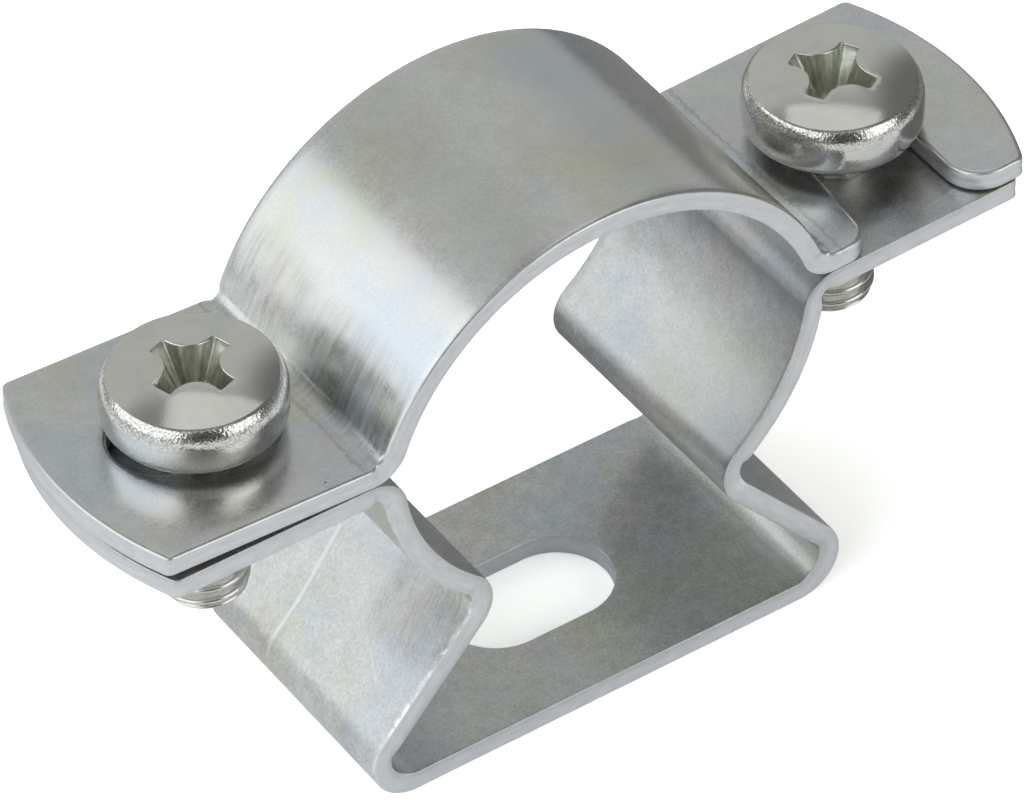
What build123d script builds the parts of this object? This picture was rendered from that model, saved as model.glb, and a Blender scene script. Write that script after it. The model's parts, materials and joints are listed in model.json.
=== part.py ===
from build123d import *
from math import asin, atan2, cos, degrees, radians, sin, sqrt, tan
import os

# Two-part spacing strap for round conduit, in millimetres.
# The origin is the middle of the footing's underside, where it meets the wall.
# +X runs along the strip, +Y along the conduit, +Z away from the wall.

# Conduit and sheet
conduit_radius = 12.5
conduit_clearance = 0.1
sheet = 1.2
strip_width = 16.0

# Cradle: one strip, folded under at both ends of the footing
footing_half_length = 15.05
fold_outer_radius = 2.6
wall_lean = 48.5
waist_radius = 1.2
seat_height = 22.75
cradle_flange_radius = 0.9
cradle_half_length = 28.1
right_flange_spring = 1.8

# Strap: one strip, arched over the conduit
arch_outer_radius = 14.55
arch_centre_drop = 3.5
strap_flange_radius = 0.9
flange_spring = 2.5
strap_seat_gap = 0.03
strap_half_length = 28.5
end_radius = 18.7

# Slot in the footing, for the wall screw
wall_slot_width = 6.4
wall_slot_length = 10.3

# Clamping screws and what they pass through
screw_half_spacing = 20.0
thread_radius = 2.42
thread_clearance = 0.05
shank_length = 12.0
shank_chamfer = 0.5
head_gap = 0.4
head_radius = 4.9
head_height = 3.55
head_side_height = 2.9
head_foot_height = 0.6
head_foot_inset = 0.4
head_rim_inset = 0.35
head_edge_radius = 1.0
pivot_slot_clearance = 0.28
pivot_slot_travel = 2.2
open_slot_clearance = 0.1
open_slot_spare = 0.75
mouth_inner_round = 1.4
mouth_outer_round = 2.2

# Cross recess in each head
recess_tip_radius = 2.4
recess_wing_width = 1.1
recess_waist_radius = 1.35
recess_depth = 2.4
recess_floor_ratio = 0.45
left_recess_turn = 17.0
right_recess_turn = 30.0

half_width = strip_width / 2
cradle_outer_radius = conduit_radius + conduit_clearance + sheet
spring_angle = radians(flange_spring)

# Centres of the arch and of the bend between it and its flange
arch_centre = seat_height - arch_centre_drop
strap_bend_height = seat_height + strap_seat_gap + sheet + strap_flange_radius
strap_bend_reach = arch_outer_radius + strap_flange_radius
strap_bend_x = sqrt(strap_bend_reach**2 - (strap_bend_height - arch_centre) ** 2)

# The heads stand clear of the sprung flanges, which are highest at the heads' outer edges.
head_edge_x = screw_half_spacing + head_radius
flange_rise = (head_edge_x - strap_bend_x) * tan(spring_angle)
head_foot = strap_bend_height + flange_rise - strap_flange_radius / cos(spring_angle) + head_gap


def strip_corner(half_length):
    """How far out a strip's straight sides meet its bowed end."""
    return half_length - end_radius + sqrt(end_radius**2 - half_width**2)


def strip_plan(half_length):
    """Outline of a strip seen from above: straight sides and bowed ends."""
    corner = strip_corner(half_length)
    with BuildSketch(Plane.XY) as plan:
        with BuildLine():
            Line((-corner, -half_width), (corner, -half_width))
            ThreePointArc((corner, -half_width), (half_length, 0), (corner, half_width))
            Line((corner, half_width), (-corner, half_width))
            ThreePointArc((-corner, half_width), (-half_length, 0), (-corner, -half_width))
        make_face()
    return plan.sketch


def cradle_path(spring):
    """Underside of half the cradle strip, its flange sprung up by spring degrees."""
    fold_x = footing_half_length - fold_outer_radius
    wall_heading = 180 - wall_lean
    wall_x = -cos(radians(wall_lean))
    wall_z = sin(radians(wall_lean))

    footing = Line((0, 0), (fold_x, 0))
    fold = JernArc(footing @ 1, footing % 1, fold_outer_radius, wall_heading)

    # The waist bend touches both the leaning wall and the arc round the conduit.
    start = fold @ 1
    to_centre_x = 0 - start.X
    to_centre_z = seat_height - start.Y
    along = to_centre_x * wall_x + to_centre_z * wall_z
    across = to_centre_x * wall_z - to_centre_z * wall_x
    reach = cradle_outer_radius + waist_radius
    wall_length = along - sqrt(reach**2 - (waist_radius - across) ** 2)
    wall = PolarLine(start, wall_length, wall_heading)
    bend_x = start.X + wall_length * wall_x + waist_radius * wall_z
    bend_z = start.Y + wall_length * wall_z - waist_radius * wall_x
    waist_angle = degrees(atan2(bend_z - seat_height, bend_x))

    flange_bend_drop = sheet + cradle_flange_radius
    flange_angle = -degrees(asin(flange_bend_drop / (cradle_outer_radius + cradle_flange_radius)))

    waist = JernArc(wall @ 1, wall % 1, waist_radius, waist_angle + 90 - wall_heading)
    arc = JernArc(waist @ 1, waist % 1, cradle_outer_radius, flange_angle - waist_angle)
    bend = JernArc(arc @ 1, arc % 1, cradle_flange_radius, spring - 90 - flange_angle)
    PolarLine(bend @ 1, cradle_half_length + sheet - (bend @ 1).X, spring)


def strap_path():
    """Outer face of half the strap, from the crown of the arch to the flange's end."""
    foot_angle = degrees(asin((strap_bend_height - arch_centre) / strap_bend_reach))

    arch = JernArc((0, arch_centre + arch_outer_radius), (1, 0), arch_outer_radius, foot_angle - 90)
    bend = JernArc(arch @ 1, arch % 1, strap_flange_radius, 90 - foot_angle + flange_spring)
    PolarLine(bend @ 1, strap_half_length + sheet - (bend @ 1).X, flange_spring)


def recess_outline(scale):
    """Cross with four flared wings and hollow flanks, centred on the screw's axis."""
    half_wing = recess_wing_width / 2 * scale
    tip = sqrt(recess_tip_radius**2 - (recess_wing_width / 2) ** 2) * scale
    flank = recess_waist_radius * scale * sin(radians(45))
    with BuildSketch(Plane.XY) as cross:
        with BuildLine():
            for turn in range(0, 360, 90):
                right_corner = Vector(tip, -half_wing).rotate(Axis.Z, turn)
                left_corner = Vector(tip, half_wing).rotate(Axis.Z, turn)
                hollow = Vector(flank, flank).rotate(Axis.Z, turn)
                next_corner = Vector(half_wing, tip).rotate(Axis.Z, turn)
                Line(right_corner, left_corner)
                ThreePointArc(left_corner, hollow, next_corner)
        make_face()
    return cross.sketch


os.makedirs("parts", exist_ok=True)


# Cradle: footing, folds, leaning walls, arc round the conduit and threaded flanges
with BuildPart() as base_cradle:
    with BuildSketch(Plane.XZ) as cradle_section:
        with BuildLine():
            cradle_path(0)
            offset(amount=sheet, side=Side.LEFT)
        make_face()
        mirror(about=Plane.YZ, mode=Mode.REPLACE)
        with BuildLine():
            cradle_path(right_flange_spring)
            offset(amount=sheet, side=Side.LEFT)
        make_face()
    extrude(amount=half_width, both=True)

    with BuildSketch(Plane.XY) as cradle_plan:
        add(strip_plan(cradle_half_length))
        with Locations((-screw_half_spacing, 0), (screw_half_spacing, 0)):
            Circle(thread_radius + thread_clearance, mode=Mode.SUBTRACT)
    extrude(amount=seat_height + sheet, mode=Mode.INTERSECT)

    with BuildSketch(Plane.XY) as wall_slot:
        SlotOverall(wall_slot_length, wall_slot_width)
    extrude(amount=sheet, mode=Mode.SUBTRACT)

base_cradle.part.label = "base_cradle"
export_step(base_cradle.part, "parts/base_cradle.step")


# Strap: arch and bowed flanges, a pivot slot at the left and an open slot at the right
with BuildPart() as top_strap:
    with BuildSketch(Plane.XZ) as strap_section:
        with BuildLine():
            strap_path()
            offset(amount=sheet, side=Side.RIGHT)
        make_face()
        mirror(about=Plane.YZ)
    extrude(amount=half_width, both=True)

    with BuildSketch(Plane.XY.offset(seat_height - sheet)) as strap_plan:
        add(strip_plan(strap_half_length))
        pivot_slot_width = 2 * (thread_radius + pivot_slot_clearance)
        with Locations((-screw_half_spacing, 0)):
            SlotCenterToCenter(2 * pivot_slot_travel, pivot_slot_width, mode=Mode.SUBTRACT)

        # As the strap swings about the left screw, the right one leaves along an arc.
        slot_inner = screw_half_spacing - thread_radius - open_slot_clearance
        slot_outer = screw_half_spacing + thread_radius + open_slot_spare
        swing_radius = 2 * screw_half_spacing
        swing_drift = swing_radius - sqrt(swing_radius**2 - half_width**2)
        with BuildLine():
            Polyline(
                (slot_outer, 0),
                (slot_outer, -strip_width),
                (slot_inner - swing_drift * strip_width / half_width, -strip_width),
                (slot_inner, 0),
            )
            RadiusArc((slot_inner, 0), (slot_outer, 0), (slot_outer - slot_inner) / 2)
        make_face(mode=Mode.SUBTRACT)
        inner_corner = strap_plan.vertices().group_by(Axis.Y)[0].sort_by(Axis.X)[1]
        fillet(inner_corner, mouth_inner_round)
        # The outer rounding stays within the land between the slot and the strip's end.
        outer_land = strip_corner(strap_half_length) - slot_outer
        outer_corner = strap_plan.vertices().group_by(Axis.Y)[0].sort_by(Axis.X)[-2]
        fillet(outer_corner, min(mouth_outer_round, 0.8 * outer_land))
    extrude(amount=2 * arch_outer_radius, mode=Mode.INTERSECT)

top_strap.part.label = "top_strap"
export_step(top_strap.part, "parts/top_strap.step")


# Clamping screws: pan heads with a cross recess, threaded into the cradle's flanges
def clamping_screw(name, axis_x, recess_turn):
    """One screw, its axis upright at axis_x and its recess turned by recess_turn degrees."""
    foot = Vector(axis_x, 0, head_foot)
    foot_plane = Plane(foot, z_dir=(0, 0, 1)).rotated((0, 0, recess_turn))
    rim_radius = head_radius - head_rim_inset
    dome_rise = head_height - head_side_height
    dome_radius = (rim_radius**2 + dome_rise**2) / (2 * dome_rise)

    with BuildPart() as screw:
        with BuildSketch(Plane(foot, x_dir=(1, 0, 0), z_dir=(0, -1, 0))) as head_section:
            with BuildLine():
                Polyline(
                    (0, head_height),
                    (0, 0),
                    (head_radius - head_foot_inset, 0),
                    (head_radius, head_foot_height),
                    (head_radius, head_side_height - head_rim_inset),
                )
                RadiusArc(
                    (head_radius, head_side_height - head_rim_inset),
                    (rim_radius, head_side_height),
                    -head_edge_radius,
                )
                RadiusArc((rim_radius, head_side_height), (0, head_height), -dome_radius)
            make_face()
        revolve(axis=Axis(foot, (0, 0, 1)))

        with BuildSketch(foot_plane):
            Circle(thread_radius)
        extrude(amount=-shank_length)
        chamfer(screw.edges().group_by(Axis.Z)[0], shank_chamfer)

        with BuildSketch(foot_plane.offset(head_height)):
            add(recess_outline(1))
        with BuildSketch(foot_plane.offset(head_height - recess_depth)):
            add(recess_outline(recess_floor_ratio))
        loft(mode=Mode.SUBTRACT)

    screw.part.label = name
    export_step(screw.part, f"parts/{name}.step")


clamping_screw("screw_left", -screw_half_spacing, left_recess_turn)
clamping_screw("screw_right", screw_half_spacing, right_recess_turn)
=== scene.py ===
# %% [markdown]
# # A conduit strap, dressed for the camera
# The real object is two bent strips of bright zinc-plated steel and two clamping screws. It
# holds a round conduit off a wall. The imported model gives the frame: every piece is made where
# that model says, in metres. This lesson sets up the camera and the light first, then cuts each
# strip flat, bends it as a press would, turns the screws, and last gives each its finish.

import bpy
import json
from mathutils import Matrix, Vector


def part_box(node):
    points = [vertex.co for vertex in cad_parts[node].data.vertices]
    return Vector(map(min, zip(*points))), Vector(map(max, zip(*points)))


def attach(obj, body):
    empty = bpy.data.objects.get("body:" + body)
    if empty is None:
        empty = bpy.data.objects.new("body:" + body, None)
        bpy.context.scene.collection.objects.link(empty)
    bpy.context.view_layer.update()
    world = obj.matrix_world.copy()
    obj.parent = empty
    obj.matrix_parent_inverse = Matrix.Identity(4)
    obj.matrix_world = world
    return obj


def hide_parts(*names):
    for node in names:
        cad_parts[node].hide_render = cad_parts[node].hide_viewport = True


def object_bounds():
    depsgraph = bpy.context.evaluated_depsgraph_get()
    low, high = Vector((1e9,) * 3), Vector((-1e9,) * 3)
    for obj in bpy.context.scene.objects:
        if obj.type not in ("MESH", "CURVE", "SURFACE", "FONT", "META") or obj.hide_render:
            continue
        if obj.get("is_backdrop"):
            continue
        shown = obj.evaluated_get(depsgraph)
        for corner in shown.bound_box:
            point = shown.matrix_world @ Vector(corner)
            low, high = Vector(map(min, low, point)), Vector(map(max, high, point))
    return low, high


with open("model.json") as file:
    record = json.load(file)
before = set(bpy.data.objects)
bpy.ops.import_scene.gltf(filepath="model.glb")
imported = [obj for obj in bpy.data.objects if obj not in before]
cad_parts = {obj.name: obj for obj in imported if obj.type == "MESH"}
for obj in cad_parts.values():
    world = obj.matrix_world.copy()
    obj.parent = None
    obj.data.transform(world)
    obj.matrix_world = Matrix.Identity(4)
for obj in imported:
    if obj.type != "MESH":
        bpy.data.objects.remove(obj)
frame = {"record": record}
cad_low, cad_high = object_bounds()

# %% [markdown]
# Blender works in metres, but a strap is drawn in millimetres. The strap's sizes below are
# millimetres, and one factor turns them into metres when a mesh is made. The lamps and the floor
# round it are large, so theirs are metres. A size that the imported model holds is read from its
# boxes instead of being typed again, so the looks can't drift from the model.

# %% Units and sizes from the frame
import json
from math import acos, asin, atan2, ceil, cos, degrees, pi, radians, sin, sqrt, tan

import bmesh
import bpy
import numpy as np
from mathutils import Quaternion, Vector, geometry

mm = 0.001
sheet = 1.2


def box_mm(node):
    """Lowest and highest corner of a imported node, in millimetres."""
    low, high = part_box(node)
    return np.array(low) / mm, np.array(high) / mm


cradle_low, cradle_high = box_mm("base_cradle")
strap_high = box_mm("top_strap")[1]
strip_width = cradle_high[1] - cradle_low[1]
seats = [mount for mount in frame["record"]["mounts"] if mount["name"] == "conduit_seat"]
seat_height = seats[0]["pos_m"][2] / mm
cradle_half_length = cradle_high[0]
strap_half_length = strap_high[0]
print(f"strip {strip_width:.2f} mm wide, seat {seat_height:.2f} mm up, crown {strap_high[2]:.2f} mm up")

# %% [markdown]
# The photograph was taken from far off with a long lens, from the front left and well above,
# with the camera leaning a little. The camera could be placed by eye, but a fitted angle, lens
# and aim point make every edge fall where it does in the photograph. The aim point lies on the
# strap's middle plane, and the roll is a turn about the line of sight.

# %% The camera
camera_azimuth = radians(-33.52)
camera_elevation = radians(42.50)
camera_roll = radians(-1.11)
camera_distance = 396.1
camera_aim = Vector((-0.68, 0.0, 15.60))
camera_lens = 264.4

towards_camera = Vector((
    sin(camera_azimuth) * cos(camera_elevation),
    -cos(camera_azimuth) * cos(camera_elevation),
    sin(camera_elevation),
))
camera_data = bpy.data.cameras.new("strap_camera")
camera_data.sensor_width = 36.0
camera_data.lens = camera_lens
camera_data.clip_start = 0.02
camera_data.clip_end = 20.0
camera = bpy.data.objects.new("strap_camera", camera_data)
bpy.context.scene.collection.objects.link(camera)
camera.location = (camera_aim + camera_distance * towards_camera) * mm
camera.rotation_mode = "QUATERNION"
level_view = (-towards_camera).to_track_quat("-Z", "Y")
camera.rotation_quaternion = level_view @ Quaternion((0, 0, 1), camera_roll)
bpy.context.scene.camera = camera
print("camera at", [round(c / mm, 1) for c in camera.location], "mm")

# %% [markdown]
# Bright plating is a blurred mirror, so the light decides most of its look: what matters is
# which tone lies in the direction that each face reflects. In the photograph the arch is bright
# where it faces the left and mid grey on top, and the screw heads show a soft overhead lamp and
# a dark gap where the camera stands. Three soft boxes and a plain grey room give that. Each box
# gets its power from its size and from the tone that a mirror would show of it.

# %% The soft boxes
scene = bpy.context.scene
scene.view_settings.view_transform = "Standard"
lamp_distance = 0.8
lamp_aim = Vector((0, 0, 0.02))


def direction(azimuth_deg, elevation_deg):
    """Unit vector towards a compass angle from +Y and an angle above the floor."""
    a, e = radians(azimuth_deg), radians(elevation_deg)
    return Vector((sin(a) * cos(e), cos(a) * cos(e), sin(e)))


def soft_box(name, towards_lamp, width, height, brightness, tint):
    """A soft box that looks at the strap. Its brightness is the tone that a mirror would show."""
    lamp = bpy.data.lights.new(name, "AREA")
    lamp.shape = "RECTANGLE"
    lamp.size = width
    lamp.size_y = height
    lamp.energy = pi * width * height * brightness
    lamp.color = tint
    box = bpy.data.objects.new(name, lamp)
    scene.collection.objects.link(box)
    box.location = towards_lamp * lamp_distance + lamp_aim
    box.rotation_mode = "QUATERNION"
    box.rotation_quaternion = (-towards_lamp).to_track_quat("-Z", "Y")


soft_box("left_soft_box", direction(-86, 26), 1.42, 0.80, 0.84, (0.93, 0.97, 1.0))
soft_box("overhead_soft_box", direction(40, 73), 0.38, 0.44, 0.46, (1.0, 0.98, 0.96))
soft_box("right_soft_box", direction(157, 19), 0.58, 0.52, 1.15, (1.0, 0.99, 0.97))

# %% [markdown]
# The room, the floor and the metal are all made of nodes. They could be wired by hand in the
# shader editor, but a finish has dozens of them. Each of these helpers makes one kind of node,
# fills its inputs from plain values or other nodes' outputs, and hands back its own output, so
# that the lines further down read like sums.

# %% Helpers for nodes
def add_node(tree, kind, inputs=None, **settings):
    """A node with its settings made and its inputs filled from values or other nodes' outputs."""
    made = tree.nodes.new(kind)
    for key, value in settings.items():
        setattr(made, key, value)
    for key, value in (inputs or {}).items():
        if isinstance(value, bpy.types.NodeSocket):
            tree.links.new(value, made.inputs[key])
        else:
            made.inputs[key].default_value = value
    return made


def math_of(tree, operation, a, b=0.0, clamp=False):
    """Arithmetic on numbers."""
    return add_node(tree, "ShaderNodeMath", {0: a, 1: b}, operation=operation, use_clamp=clamp).outputs[0]


def plus(tree, total, *terms):
    """The sum of two or more numbers."""
    for term in terms:
        total = math_of(tree, "ADD", total, term)
    return total


def times(tree, product, *factors):
    """The product of two or more numbers."""
    for factor in factors:
        product = math_of(tree, "MULTIPLY", product, factor)
    return product


def vector_math(tree, operation, a, b=(0, 0, 0)):
    """Arithmetic on vectors. Three of its operations give a number."""
    made = add_node(tree, "ShaderNodeVectorMath", {0: a, 1: b}, operation=operation)
    gives_number = operation in ("DOT_PRODUCT", "DISTANCE", "LENGTH")
    return made.outputs["Value" if gives_number else "Vector"]


def scaled(tree, vector, factor):
    """A vector made longer, or a colour made brighter."""
    return add_node(tree, "ShaderNodeVectorMath", {0: vector, "Scale": factor}, operation="SCALE").outputs[0]


def remap(tree, value, low, high, to_low=0.0, to_high=1.0, smooth=False):
    """Stretch the range from low to high onto another one, and hold the value beyond its ends."""
    kind = "SMOOTHSTEP" if smooth else "LINEAR"
    inputs = {"Value": value, "From Min": low, "From Max": high, "To Min": to_low, "To Max": to_high}
    return add_node(tree, "ShaderNodeMapRange", inputs, interpolation_type=kind).outputs[0]


def mix_value(tree, share, a, b):
    """Blend two numbers."""
    return add_node(tree, "ShaderNodeMix", {0: share, 2: a, 3: b}, data_type="FLOAT").outputs[0]


def mix_colour(tree, share, a, b):
    """Blend two colours, or the outputs of earlier blends."""
    a, b = (c if isinstance(c, bpy.types.NodeSocket) else (*c, 1) for c in (a, b))
    return add_node(tree, "ShaderNodeMix", {0: share, 6: a, 7: b}, data_type="RGBA").outputs[2]


print("node helpers:", [helper.__name__ for helper in (plus, times, scaled, remap, mix_value, mix_colour)])

# %% [markdown]
# The room round the soft boxes is the world. It could be a panorama, but one grey with a few
# round patches is enough: the walls darken towards the ceiling, at the right, and where the
# camera stands. A patch is a cone of directions that fades out at its rim. The camera itself
# sees plain white there, so a low view has a white background too.

# %% The grey room
room_grey = (0.485, 0.495, 0.475)
upper_wall_grey = (0.24, 0.245, 0.235)
dark_wall_grey = (0.16, 0.16, 0.16)
camera_side_grey = (0.09, 0.09, 0.09)
backdrop_white = (1, 1, 1)

world = bpy.data.worlds.new("grey_room")
scene.world = world
world.use_nodes = True
room = world.node_tree
room.nodes.clear()
look = add_node(room, "ShaderNodeTexCoord").outputs["Generated"]


def room_patch(behind, tone, centre, outer_deg, inner_deg):
    """Blend a round patch of another grey over the room, centred on a direction."""
    facing = vector_math(room, "DOT_PRODUCT", look, centre)
    share = remap(room, facing, cos(radians(outer_deg)), cos(radians(inner_deg)), smooth=True)
    return mix_colour(room, share, behind, tone)


walls = room_patch(room_grey, upper_wall_grey, direction(0, 90), 40, 29)
walls = room_patch(walls, dark_wall_grey, direction(100, 24), 50, 39)
walls = room_patch(walls, camera_side_grey, direction(-161, 18), 34, 16)
seen_directly = add_node(room, "ShaderNodeLightPath").outputs["Is Camera Ray"]
room_tone = mix_colour(room, seen_directly, walls, backdrop_white)
room_light = add_node(room, "ShaderNodeBackground", {"Color": room_tone})
add_node(room, "ShaderNodeOutputWorld", {"Surface": room_light.outputs[0]})
print("the room has", len(room.nodes), "nodes")

# %% [markdown]
# The strap lies on a plain white floor. A floor under this soft light would photograph as pale
# grey. More lamps would whiten it, but they would burn out the metal, so its colour is raised
# instead, where the camera sees it directly. The shadow under the strap stays, because the
# colour still multiplies the light that falls there.
#
# The metal mirrors the floor too. In the photograph the floor in front of the strap is bright
# in those reflections, and behind it, at the right, it's dim, like everything beyond the table.
# So rays that come from a reflection meet a floor of other tones, with painted shade behind the
# strap, at its right and off the table.

# %% The floor
def grey(level):
    """A grey of one level. Above 1 it sends back more light than falls on it."""
    return (level, level, level)


# The far floor's grey is painted shade: beyond the table the floor is darker for every ray but the camera's.
floor_lit, floor_far_shade, floor_seen = grey(0.80), grey(0.35), grey(2.9)
# The grey mirrored behind the strap and at its right is painted shade, standing in for its shadow.
mirrored_front, mirrored_shade_behind = grey(1.38), grey(0.45)
table_radius = 0.16
table_fade = 0.20


def new_material(name):
    """An empty node material and its tree."""
    material = bpy.data.materials.new(name)
    material.use_nodes = True
    material.node_tree.nodes.clear()
    return material, material.node_tree


floor_material, floor_tree = new_material("white_floor")
floor_place = add_node(floor_tree, "ShaderNodeNewGeometry").outputs["Position"]


def floor_side(way, begin, end):
    """0 on one side of the floor and 1 on the other, blended between two distances along a way."""
    along = vector_math(floor_tree, "DOT_PRODUCT", floor_place, way)
    return remap(floor_tree, along, begin, end, smooth=True)


from_middle = vector_math(floor_tree, "LENGTH", floor_place)
off_table = remap(floor_tree, from_middle, table_radius, table_radius + table_fade, smooth=True)
to_back = floor_side((0.35, 0.94, 0), -0.004, 0.018)
to_right = floor_side((0.89, -0.45, 0), -0.060, -0.015)
# Painted shade: reflections meet a darker floor behind the strap, at its right and off the table.
mirrored = mix_colour(floor_tree, to_right, mirrored_front, mirrored_shade_behind)
mirrored = mix_colour(floor_tree, to_back, mirrored_front, mirrored)
mirrored = mix_colour(floor_tree, off_table, mirrored, floor_far_shade)
lit = mix_colour(floor_tree, off_table, floor_lit, floor_far_shade)
ray = add_node(floor_tree, "ShaderNodeLightPath").outputs
floor_tone = mix_colour(floor_tree, ray["Is Glossy Ray"], lit, mirrored)
floor_tone = mix_colour(floor_tree, ray["Is Camera Ray"], floor_tone, floor_seen)
floor_tone = mix_colour(floor_tree, ray["Is Transmission Ray"], floor_tone, floor_seen)
floor_paint = add_node(floor_tree, "ShaderNodeBsdfDiffuse", {"Color": floor_tone})
add_node(floor_tree, "ShaderNodeOutputMaterial", {"Surface": floor_paint.outputs[0]})
print("the floor's paint has", len(floor_tree.nodes), "nodes")

# %% [markdown]
# The floor's mesh is one large round face. It lies a hair below the footing, because two faces
# in one plane would flicker in and out of each other.

# %% The floor's mesh
floor_radius = 3.0
floor_drop = 0.03 * mm
rim_count = 96

rim_angles = [2 * pi * i / rim_count for i in range(rim_count)]
floor_mesh = bpy.data.meshes.new("floor")
floor_rim = [(floor_radius * cos(a), floor_radius * sin(a), 0) for a in rim_angles]
floor_mesh.from_pydata(floor_rim, [], [list(range(rim_count))])
floor_mesh.materials.append(floor_material)
floor = bpy.data.objects.new("floor", floor_mesh)
floor.location.z = -floor_drop
scene.collection.objects.link(floor)
floor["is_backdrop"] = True
print("the floor reaches", floor_radius, "m out")

# %% [markdown]
# A press shop makes such a strip in two steps: it blanks the flat shape out of sheet, holes and
# all, and then folds the blank. The mesh is made the same way. A boolean cut through a bent
# shell would leave ragged triangles at each hole, but a flat outline with holes is easy to
# sample evenly, and bending it afterwards is only a mapping of its points.
#
# An outline is a list of straight runs and arcs with the metal on its left. It is sampled at
# one even spacing, so that the bends get enough points too.

# %% Outlines of flat blanks
outline_spacing = 0.2


def run(start, end, spacing=outline_spacing):
    """Points along a straight run, without its last one."""
    start, end = np.array(start, float), np.array(end, float)
    count = max(1, ceil(np.linalg.norm(end - start) / spacing))
    return start + (end - start) * (np.arange(count) / count)[:, None]


def arc(centre, radius, first_deg, last_deg, spacing=outline_spacing):
    """Points along an arc, without its last one. It turns left if last_deg is the larger."""
    sweep = radians(last_deg - first_deg)
    count = max(2, ceil(abs(sweep) * radius / spacing))
    angle = radians(first_deg) + sweep * np.arange(count) / count
    return np.array(centre, float) + radius * np.stack([np.cos(angle), np.sin(angle)], 1)


def rounded_run(corners, radii):
    """Points through an open chain of corners, without its last one. Each inner corner has a radius."""
    corners = [np.array(c, float) for c in corners]
    pieces, here = [], corners[0]
    for corner, after, radius in zip(corners[1:-1], corners[2:], radii):
        into = (corner - here) / np.linalg.norm(corner - here)
        out = (after - corner) / np.linalg.norm(after - corner)
        turn = atan2(into[0] * out[1] - into[1] * out[0], into @ out)
        back = radius * tan(abs(turn) / 2)
        entry = corner - into * back
        centre = entry + np.sign(turn) * radius * np.array([-into[1], into[0]])
        first = degrees(atan2(entry[1] - centre[1], entry[0] - centre[0]))
        pieces += [run(here, entry), arc(centre, radius, first, first + degrees(turn))]
        here = corner + out * back
    pieces.append(run(here, corners[-1]))
    return np.vstack(pieces)


def hole(centre, radius, half_travel=0.0):
    """A round hole, or a slot whose round ends are half_travel to each side of its centre."""
    x, y = centre
    if half_travel == 0:
        return arc(centre, radius, 360, 0)
    return np.vstack([
        arc((x + half_travel, y), radius, 90, -90),
        run((x + half_travel, y - radius), (x - half_travel, y - radius)),
        arc((x - half_travel, y), radius, -90, -270),
        run((x - half_travel, y + radius), (x + half_travel, y + radius)),
    ])


print("a 10 mm run is cut into", len(run((0, 0), (10, 0))), "points")

# %% [markdown]
# Both strips end in a shallow bow, and its two corners are barely rounded. The bow could be a
# chain of typed points, but its radius and the strip's width give it all.

# %% The bowed ends
end_radius = 18.7
corner_round = 0.5
half_width = strip_width / 2
bow_half_angle = asin(half_width / end_radius)
corner_turn = pi / 2 - bow_half_angle
corner_back = corner_round * tan(corner_turn / 2)


def bow_corner(half_length):
    """How far out the straight sides meet the bow."""
    return half_length - end_radius * (1 - cos(bow_half_angle))


def right_end(half_length):
    """The bowed right end with its two rounded corners, from the front side to the back side."""
    corner = bow_corner(half_length)
    first = degrees(corner_turn)
    bow_trim = degrees(bow_half_angle - corner_back / end_radius)
    return np.vstack([
        arc((corner - corner_back, corner_round - half_width), corner_round, -90, -90 + first),
        arc((half_length - end_radius, 0), end_radius, -bow_trim, bow_trim),
        arc((corner - corner_back, half_width - corner_round), corner_round, 90 - first, 90),
    ])


def left_end(half_length):
    """The same end turned half round, from the back side to the front side."""
    return -right_end(half_length)


print(f"the bow's corners lie {strap_half_length - bow_corner(strap_half_length):.2f} mm behind its middle")

# %% [markdown]
# A punch leaves an edge with a story. The side it enters is pulled down into a soft roll-over,
# then comes a band that it sheared bright, then a rough band where the metal tore, and last a
# thin burr. A bevel modifier would round both sides alike, so the edge is lofted here from a
# short list of insets and heights. Each level also gets a share of the cut edge's finish, which
# is weak in the roll-over, because that is still the sheet's own plated face.

# %% The punched edge
torn_from, torn_to, sheared_from = 0.30, 0.48, 0.56
burr_flare = 0.3
roll_steps = 5
least_cut_share, cut_share_per_mm = 0.25, 1.5


def edge_profile(roll_over, roll_depth, tear, burr):
    """Inset from the outline and height above the sheet's middle, from the underside up."""
    half = sheet / 2
    roll_angles = [pi / 2 * k / roll_steps for k in range(roll_steps + 1)]
    return [
        (burr, -half),
        (burr * burr_flare, burr * burr_flare - half),
        (0.0, burr - half),
        (tear, torn_from * sheet - half),
        (tear, torn_to * sheet - half),
        (0.0, sheared_from * sheet - half),
        *((roll_over * (1 - cos(a)), half - roll_depth * (1 - sin(a))) for a in roll_angles),
    ]


def cut_shares(profile):
    """How much of the cut edge's finish each level shows. The two faces show none."""
    shares = [min(1.0, least_cut_share + cut_share_per_mm * (sheet / 2 - height)) for _, height in profile]
    return [0.0, *shares[1:-1], 0.0]


def outward(loop):
    """Unit vectors that point away from the metal at each point of a closed outline."""
    along = np.roll(loop, -1, 0) - np.roll(loop, 1, 0)
    along /= np.linalg.norm(along, axis=1)[:, None]
    return np.stack([along[:, 1], -along[:, 0]], 1)


print("a punched edge has", len(edge_profile(0.1, 0.1, 0.02, 0.05)), "levels")

# %% [markdown]
# The face between the edges is filled with triangles on an even grid, which bends without
# creases. Blender's plain fill would draw long thin triangles from hole to hole instead, and
# they would fold badly. Grid points that come too near an outline are left out.

# %% Filling a face
least_gap = 0.14
gap_batch = 64
same_point = 1e-7


def inside(points, loop):
    """Which points lie inside a closed outline."""
    x, y = points[:, :1], points[:, 1:2]
    ax, ay = loop[:, 0], loop[:, 1]
    bx, by = np.roll(ax, -1), np.roll(ay, -1)
    spans = (ay > y) != (by > y)
    with np.errstate(divide="ignore", invalid="ignore"):
        crossing = ax + (y - ay) * (bx - ax) / (by - ay)
    return (spans & (x < crossing)).sum(1) % 2 == 1


def in_metal(points, loops):
    """Which points lie inside the first outline and outside the others, which are holes."""
    kept = inside(points, loops[0])
    for loop in loops[1:]:
        kept &= ~inside(points, loop)
    return kept


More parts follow.
